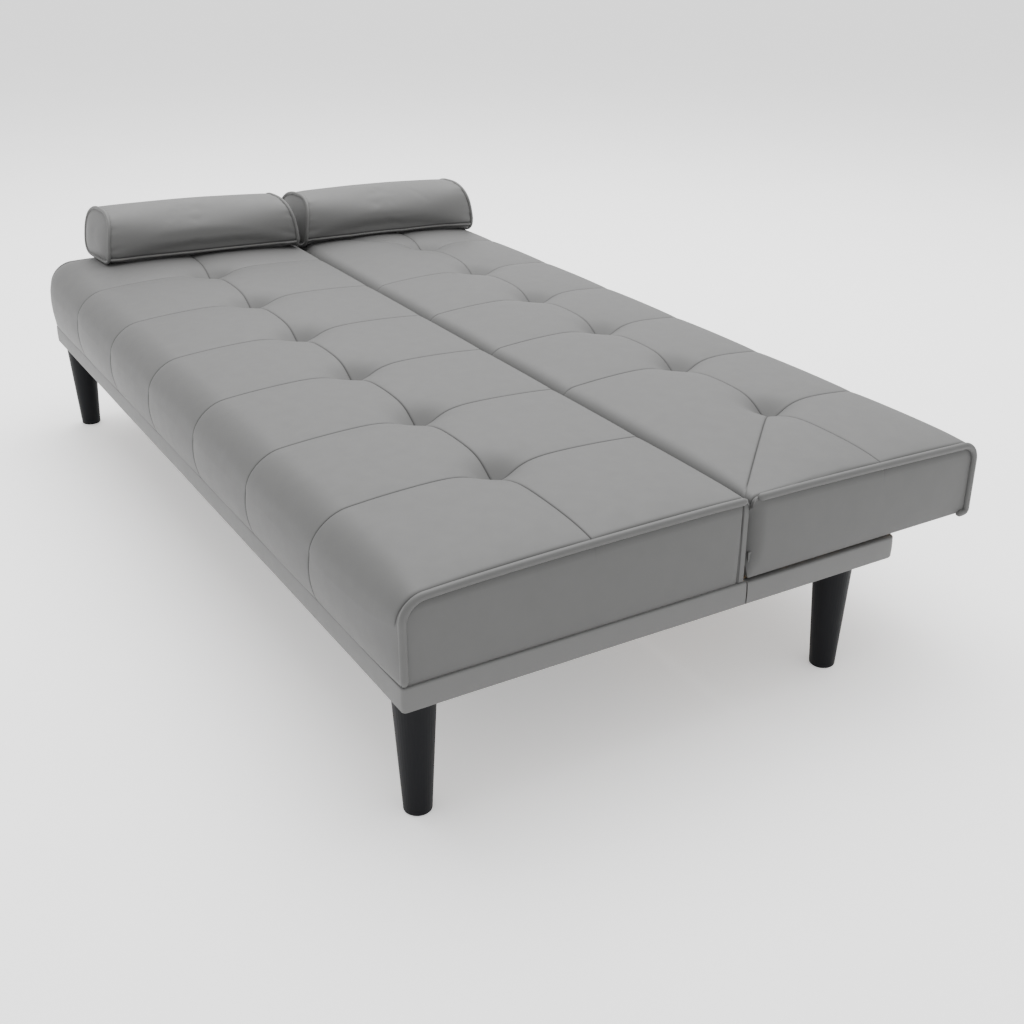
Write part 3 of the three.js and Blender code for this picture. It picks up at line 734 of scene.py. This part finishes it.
# Welts: the piped edge of each end
weltLook = dict(radius=0.0055, farSize=0.75, out=0.0008, lift=-0.0008, inset=0.0046, fromFront=0.07,
                fromRear=0.05, spots=14, gentle=0.2, footUp=0.002, footDown=0.001, nudge=0.003,
                rearDrop=0.001, tail=0.018, tailDrop=0.0015, tailTurn=0.006)


def endWelt(name, half, body, side):
    look, cushion = weltLook, half.look
    x = side * (half.half + look["out"])
    yFront, yRear = half.y0 + look["inset"], half.y1 - look["inset"]

    def roof(y):
        return float(half.pipeHeight(y, x)) + look["lift"]

    along = np.linspace(half.y0 + look["fromFront"], half.y1 - look["fromRear"], look["spots"])
    top = [(x, y, roof(y)) for y in along]
    gentle = [look["gentle"]] * len(top)
    if cushion["slant"]:
        corners = [(x, yFront + look["nudge"], roof(yFront)), *top, (x, yRear, roof(yRear)),
                   (x, yRear, half.z0 - look["footDown"]),
                   (x, yRear - look["tail"], half.z0 - look["tailDrop"])]
        radii = [*gentle, cushion["rearEnd"], look["tailTurn"]]
    else:
        corners = [(x, yFront, half.z0 + look["footUp"]), (x, yFront, roof(yFront)), *top,
                   (x, yRear - look["rearDrop"], roof(yRear) - look["rearDrop"])]
        radii = [cushion["frontEnd" if side > 0 else "frontFar"], *gentle]
    radius = look["radius"] * (1 if side > 0 else look["farSize"])
    return weltPiece(name, roundedPath(corners, radii), radius, "welt", body)


for label, side in (("left", -1), ("right", 1)):
    endWelt("seatWelt_" + label, seat, "base", side)
    endWelt("backWelt_" + label, back, "back", side)
print("welts made")


# Bands: hide wrapped round the rails of each frame
bandLook = dict(cover=0.0040, gap=0.0003, edge=0.0026, swell=0.0006, endGap=0.0013, flapThick=0.00015,
                bends=4, rises=6, step=0.012, ripple=0.00025, waves=(19, 7.3, 1), outside=0.002,
                below=0.0004)


# Section of a band as pairs of out and up, from its inner foot to its inner top or flap
def bandSection(low, high, flap):
    look = bandLook
    thick, edge, gap, bends = look["cover"], look["edge"], look["gap"], look["bends"]
    section = [(gap, low), (thick - edge, low)]
    for k in range(1, bends + 1):
        turn = math.pi / 2 * k / bends
        section.append((thick - edge + edge * math.sin(turn), low + edge - edge * math.cos(turn)))
    for k in range(1, look["rises"]):
        share = k / look["rises"]
        out = thick + look["swell"] * math.sin(math.pi * share)
        section.append((out, low + edge + (high - low - 2 * edge) * share))
    for k in range(bends + 1):
        turn = math.pi / 2 * k / bends
        section.append((thick - edge + edge * math.cos(turn), high - edge + edge * math.sin(turn)))
    return section + [(-flap, high), (-flap, high - look["flapThick"]), (gap, high - look["flapThick"])]


# Band round the outer side of a frame, closed at the fold: the seat's side is -1 and the rear one's is 1
def railBand(name, node, side, corner, above, flap):
    look = bandLook
    low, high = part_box(node)
    x = side * (high.x + look["cover"])
    y = (high.y if side > 0 else low.y) + side * look["cover"]
    fold = foldLine + side * look["endGap"]
    path = roundedPath([(x, fold, 0), (x, y, 0), (-x, y, 0), (-x, fold, 0)], [corner] * 2, look["step"])
    section = bandSection(low.z - look["below"], high.z + above, flap)
    count = len(section)
    points = []
    distance = 0
    for i, p in enumerate(path):
        if i:
            distance += (p - path[i - 1]).length
        forward = (path[min(len(path) - 1, i + 1)] - path[max(0, i - 1)]).normalized()
        outward = Vector((forward.y, -forward.x, 0))
        slow, fast, shift = look["waves"]
        bend = look["ripple"] * math.sin(distance * slow) * math.sin(distance * fast + shift)
        for reach, z in section:
            spot = p + outward * (reach - look["cover"] + bend * (reach > look["outside"]))
            points.append((spot.x, spot.y, z))
    faces = [(a, d, c, b) for a, b, c, d in tubeFaces(len(path), count)]
    faces.append(tuple(range(count)))
    faces.append(tuple((len(path) - 1) * count + k for k in range(count))[::-1])
    return addPiece(name, points, faces, "band", "base", gridLook["sharp"])


railBand("seatBand", "seat_front_rail", -1, corner=0.006, above=0.0002, flap=0.0018)
railBand("rearBand", "rear_frame_rail", 1, corner=0.014, above=0.0006, flap=0.009)
print("bands made")


# Pillows: piped bolsters that lie on the tufted halves
pillowLook = dict(length=0.444, width=0.144, height=0.112, square=2.75, foot=4.8, sink=0.0045, slope=0.008,
                  skew=0.020, lean=0.018, around=96, step=0.0065, endSteps=(0, 0.0015, 0.004, 0.008),
                  endBulge=0.011, crown=0.016, pull=0.026, clear=0.0012, settles=0.030, sharp=70, fill=0.8)
gatherLook = dict(depth=0.035, waves=(7, 11, 16, 23, 31, 9), fadeIn=0.004, fadeOut=0.020, dip=0.03667,
                  dipLong=0.003)
seamLook = dict(up=0.016, radius=0.0028, sides=8, proud=0.0006, dark=0.75)
pipingLook = dict(radius=0.0040, sides=10, grow=1.012)
swellLook = dict(pressure=3.2, frames=16, cap=0.0035, quality=6, footHold=0.9, footReach=0.004)
domeRings = (0.965, 0.92, 0.85, 0.75, 0.62, 0.48, 0.33, 0.18)


# Steps of a rounded square, evenly spaced along its outline, with a power for its upper and its lower half
def roundedSquare(width, height, upper, lower, count):
    turns = np.linspace(0, 2 * math.pi, 2001)
    c, s = np.cos(turns), np.sin(turns)
    power = np.where(s < 0, lower, upper)
    x = width / 2 * np.sign(c) * np.abs(c) ** (2 / power)
    z = height / 2 * np.sign(s) * np.abs(s) ** (2 / power)
    run = np.concatenate([[0], np.cumsum(np.hypot(np.diff(x), np.diff(z)))])
    want = np.linspace(0, run[-1], count, endpoint=False)
    return np.interp(want, run, x), np.interp(want, run, z)


# Lets a padded piece swell as cloth, keeps its pinned points, and limits how far a point may move
def swellCloth(piece, pinned):
    look = swellLook
    group = piece.vertex_groups.new(name="held")
    for i, weight in pinned:
        group.add([i], weight, "REPLACE")
    before = np.array([v.co[:] for v in piece.data.vertices])
    cloth = piece.modifiers.new("swell", "CLOTH")
    cloth.settings.use_pressure = True
    cloth.settings.uniform_pressure_force = look["pressure"]
    cloth.settings.vertex_group_mass = "held"
    cloth.settings.effector_weights.gravity = 0
    cloth.settings.quality = look["quality"]
    scene = bpy.context.scene
    for number in range(1, look["frames"] + 1):
        scene.frame_set(number)
    graph = bpy.context.evaluated_depsgraph_get()
    shaped = piece.evaluated_get(graph).to_mesh()
    after = np.array([v.co[:] for v in shaped.vertices])
    piece.evaluated_get(graph).to_mesh_clear()
    piece.modifiers.clear()
    piece.vertex_groups.clear()
    moved = after - before
    far = np.linalg.norm(moved, axis=1, keepdims=True)
    moved *= np.minimum(1, look["cap"] / np.maximum(far, 1e-9))
    print(piece.name, "swelled by up to", round(float(far.max()), 4))
    piece.data.vertices.foreach_set("co", (before + moved).reshape(-1))
    piece.data.update()
    scene.frame_set(1)


# One bolster on the half below it, turned by an angle and shifted along its length
class Bolster:
    def __init__(self, node, under, degrees, shift, seed):
        look = pillowLook
        self.node, self.under = node, under
        low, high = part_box(node)
        self.floor = low.z
        self.centre = (low + high) / 2 + Vector((0, shift, 0))
        self.turn = math.radians(degrees)
        sizes = (look["width"], look["height"], look["square"], look["foot"], look["around"])
        self.px, self.pz = roundedSquare(*sizes)
        self.phases = np.random.default_rng(seed).uniform(0, 2 * math.pi, len(gatherLook["waves"]))

    # Section at y along the pillow: crowned, gathered at its ends, skewed, and settled on the half
    def ring(self, y, reach):
        look, gathers = pillowLook, gatherLook
        px, pz, turn = self.px, self.pz, self.turn
        share, toEnd = abs(y) / reach, reach - abs(y)
        angles = np.arctan2(pz, px)
        size = 1 + look["crown"] * (1 - share ** 2) - look["pull"] * share ** 8
        gather = sum(np.sin(angles * n + p) for n, p in zip(gathers["waves"], self.phases)) / len(self.phases)
        shown = math.exp(-toEnd / gathers["fadeOut"]) * (1 - math.exp(-toEnd / gathers["fadeIn"]))
        size = size + gather * gathers["depth"] * shown
        size = size * (1 - gathers["dip"] * math.exp(-(toEnd / gathers["dipLong"]) ** 2))
        wx = self.centre.x + px * size * math.cos(turn) - y * math.sin(turn)
        wy = self.centre.y + px * size * math.sin(turn) + y * math.cos(turn)
        wz = self.centre.z + pz * size
        rise = np.clip((pz + look["height"] / 2) / look["height"], 0, 1) ** 2
        lean = look["lean"] * rise * share ** 4 * math.copysign(1, y)
        slope = np.where(px > 0, look["slope"] * rise * px / look["width"] * 2, 0)
        wx = wx + lean * math.sin(turn) - slope
        wy = wy - lean * math.cos(turn) + look["skew"] * px / look["width"] * share
        wz = wz + self.under.pipeHeight(wy, wx) - self.under.pipeHeight(wy)
        return self.settle(wx, wy, wz)

    # Lowers the foot of a section onto the half, but never below what the padding gives
    def settle(self, wx, wy, wz):
        look = pillowLook
        rest = np.maximum(self.under.topOf(wx, wy) + look["clear"], self.floor - look["sink"])
        share = np.clip((wz - self.floor) / look["settles"], 0, 1)
        lowered = wz + (rest - self.floor) * (1 - share) ** 2
        return np.stack([wx, wy, np.maximum(lowered, rest)], axis=1)

    # Domed end: smaller and smaller copies of the end section, then one point
    def dome(self, points, faces, first, side):
        look, around = pillowLook, pillowLook["around"]
        rim = np.array(points[first:first + around])
        middle = rim.mean(axis=0)
        axis = np.array([-math.sin(self.turn), math.cos(self.turn), 0]) * side
        last = [first + k for k in range(around)]
        for scale in domeRings:
            rise = look["endBulge"] * (1 - scale ** 2) ** 0.8
            ids = [len(points) + k for k in range(around)]
            points += [middle + (p - middle) * scale + axis * rise for p in rim]
            faces += [(last[k], last[(k + 1) % around], ids[(k + 1) % around], ids[k]) for k in range(around)]
            last = ids
        faces += [(last[k], last[(k + 1) % around], len(points)) for k in range(around)]
        points.append(middle + axis * look["endBulge"])

    def build(self, name):
        look, around = pillowLook, pillowLook["around"]
        reach = look["length"] / 2 - look["endBulge"]
        lengths = stations(-reach, reach, [-reach, reach], look["step"], close=look["endSteps"])
        rings = [self.ring(y, reach) for y in lengths]
        count, far = len(rings), (len(rings) - 1) * around
        points = [p for ring in rings for p in ring]
        faces = [(a, d, c, b) for a, b, c, d in tubeFaces(count, around)]
        self.dome(points, faces, 0, -1)
        self.dome(points, faces, far, 1)
        piece = addPiece(name, points, faces, "pillow", self.node, look["sharp"])
        foot = self.pz + look["height"] / 2
        seam = int(np.argmin(np.where(self.px > 0, np.abs(foot - seamLook["up"]), np.inf)))
        masks = np.zeros(len(points))
        for i in range(2, count - 2):
            for k in (seam - 1, seam + 1):
                masks[i * around + k % around] = seamLook["dark"]
        setSeam(piece, masks)
        onFloor = self.floor + swellLook["footReach"]
        held = {i: swellLook["footHold"] for i, p in enumerate(points) if p[2] < onFloor}
        held.update({i: 1.0 for i in (*range(around), *range(far, far + around))})
        swellCloth(piece, sorted(held.items()))
        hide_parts(self.node)
        self.pipeEnds(name, points, (("Front", 0), ("Rear", far)))
        swelled = [Vector(v.co) for v in piece.data.vertices[:count * around]]
        run = []
        for i in range(1, count - 1):
            p = swelled[i * around + seam]
            middle = sum(swelled[i * around:(i + 1) * around], Vector()) / around
            run.append(p + (p - middle).normalized() * seamLook["proud"])
        weltPiece(name + "LowerWelt", run, seamLook["radius"], "pillow", self.node, seamLook["sides"])

    def pipeEnds(self, name, points, ends):
        axis = Vector((-math.sin(self.turn), math.cos(self.turn), 0))
        for label, first in ends:
            rim = [Vector(p) for p in points[first:first + pillowLook["around"]]]
            middle = sum(rim, Vector()) / len(rim)
            path = [middle + (p - middle) * pipingLook["grow"] for p in rim]
            weltPiece(name + "Welt" + label, path, pipingLook["radius"], "pillow", self.node,
                      pipingLook["sides"], True, axis)


Bolster("pillow_front", seat, degrees=-3.5, shift=-0.007, seed=3).build("pillowFront")
Bolster("pillow_rear", back, degrees=-3.0, shift=-0.004, seed=8).build("pillowRear")
print("pillows made")


# Finishes of the frame's own parts, by how their names begin
finishOf = dict(leg_plate="plate", leg_bolt="steel", leg_block="wood", leg_="leg", seat_dust="cloth",
                back_dust="cloth", seat_="wood", back_="wood", rear_frame="wood", rest_pad="rubber",
                hinge_base="plate", hinge_back="plate", hinge_pivot="steel", hinge_bushing="nylon",
                pawl_spring="steel", pawl_pin="steel", pawl_="plate")
for name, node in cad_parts.items():
    finish = next((finish for begin, finish in finishOf.items() if name.startswith(begin)), None)
    if finish:
        node.data.materials.clear()
        node.data.materials.append(finishes[finish])
print("frame parts finished")


# Studio: a pale floor, one broad soft light overhead, an even world and the camera
studioLook = dict(floor=(0.93, 0.93, 0.93), dusty=(0.78, 0.78, 0.78), dust=(3, 2, 0.5), dustShare=0.3,
                  rough=0.75, roughDust=0.1, specular=0.2, glow=0.38, reach=30, world=1.35)
lightLook = dict(place=(-1.0, 0.75, 3.4), aim=(-0.1, 0, 0.3), size=(4.5, 4.0), power=290)
camLook = dict(place=(2.1276, -1.0928, 1.1302), azimuth=59.25, elevation=25.46, lens=47.16, sensor=36,
               farthest=100)
white = (1, 1, 1, 1)


def studioFloor():
    look = studioLook
    f = Finish("studio_floor")
    dust = f.noise(*look["dust"])
    f.surface(color=f.blend(dust * look["dustShare"], look["floor"], look["dusty"]),
              rough=look["rough"] + (dust - 0.5) * look["roughDust"], specular=look["specular"])
    f.shader.inputs["Emission Color"].default_value = white
    f.shader.inputs["Emission Strength"].default_value = look["glow"]
    r = look["reach"]
    mesh = bpy.data.meshes.new("studioFloor")
    mesh.from_pydata([(-r, -r, 0), (r, -r, 0), (r, r, 0), (-r, r, 0)], [], [(0, 1, 2, 3)])
    mesh.materials.append(f.material)
    floor = bpy.data.objects.new("studioFloor", mesh)
    bpy.context.scene.collection.objects.link(floor)


def overheadLight():
    look = lightLook
    lamp = bpy.data.lights.new("overheadSoft", "AREA")
    lamp.shape = "RECTANGLE"
    lamp.size, lamp.size_y = look["size"]
    lamp.energy = look["power"]
    holder = bpy.data.objects.new("overheadSoft", lamp)
    holder.location = look["place"]
    holder.rotation_euler = (Vector(look["aim"]) - Vector(look["place"])).to_track_quat("-Z", "Y").to_euler()
    bpy.context.scene.collection.objects.link(holder)


def evenWorld():
    world = bpy.data.worlds.new("studioWorld")
    world.use_nodes = True
    background = world.node_tree.nodes["Background"]
    background.inputs["Color"].default_value = white
    background.inputs["Strength"].default_value = studioLook["world"]
    bpy.context.scene.world = world


def studioCamera():
    look = camLook
    azimuth, elevation = math.radians(look["azimuth"]), math.radians(look["elevation"])
    flat = math.cos(elevation)
    away = Vector((math.sin(azimuth) * flat, -math.cos(azimuth) * flat, math.sin(elevation)))
    data = bpy.data.cameras.new("studioCamera")
    data.lens = look["lens"]
    data.sensor_width = look["sensor"]
    data.clip_end = look["farthest"]
    camera = bpy.data.objects.new("studioCamera", data)
    camera.location = look["place"]
    camera.rotation_euler = (-away).to_track_quat("-Z", "Y").to_euler()
    bpy.context.scene.collection.objects.link(camera)
    bpy.context.scene.camera = camera


studioFloor()
overheadLight()
evenWorld()
studioCamera()
print("studio set")
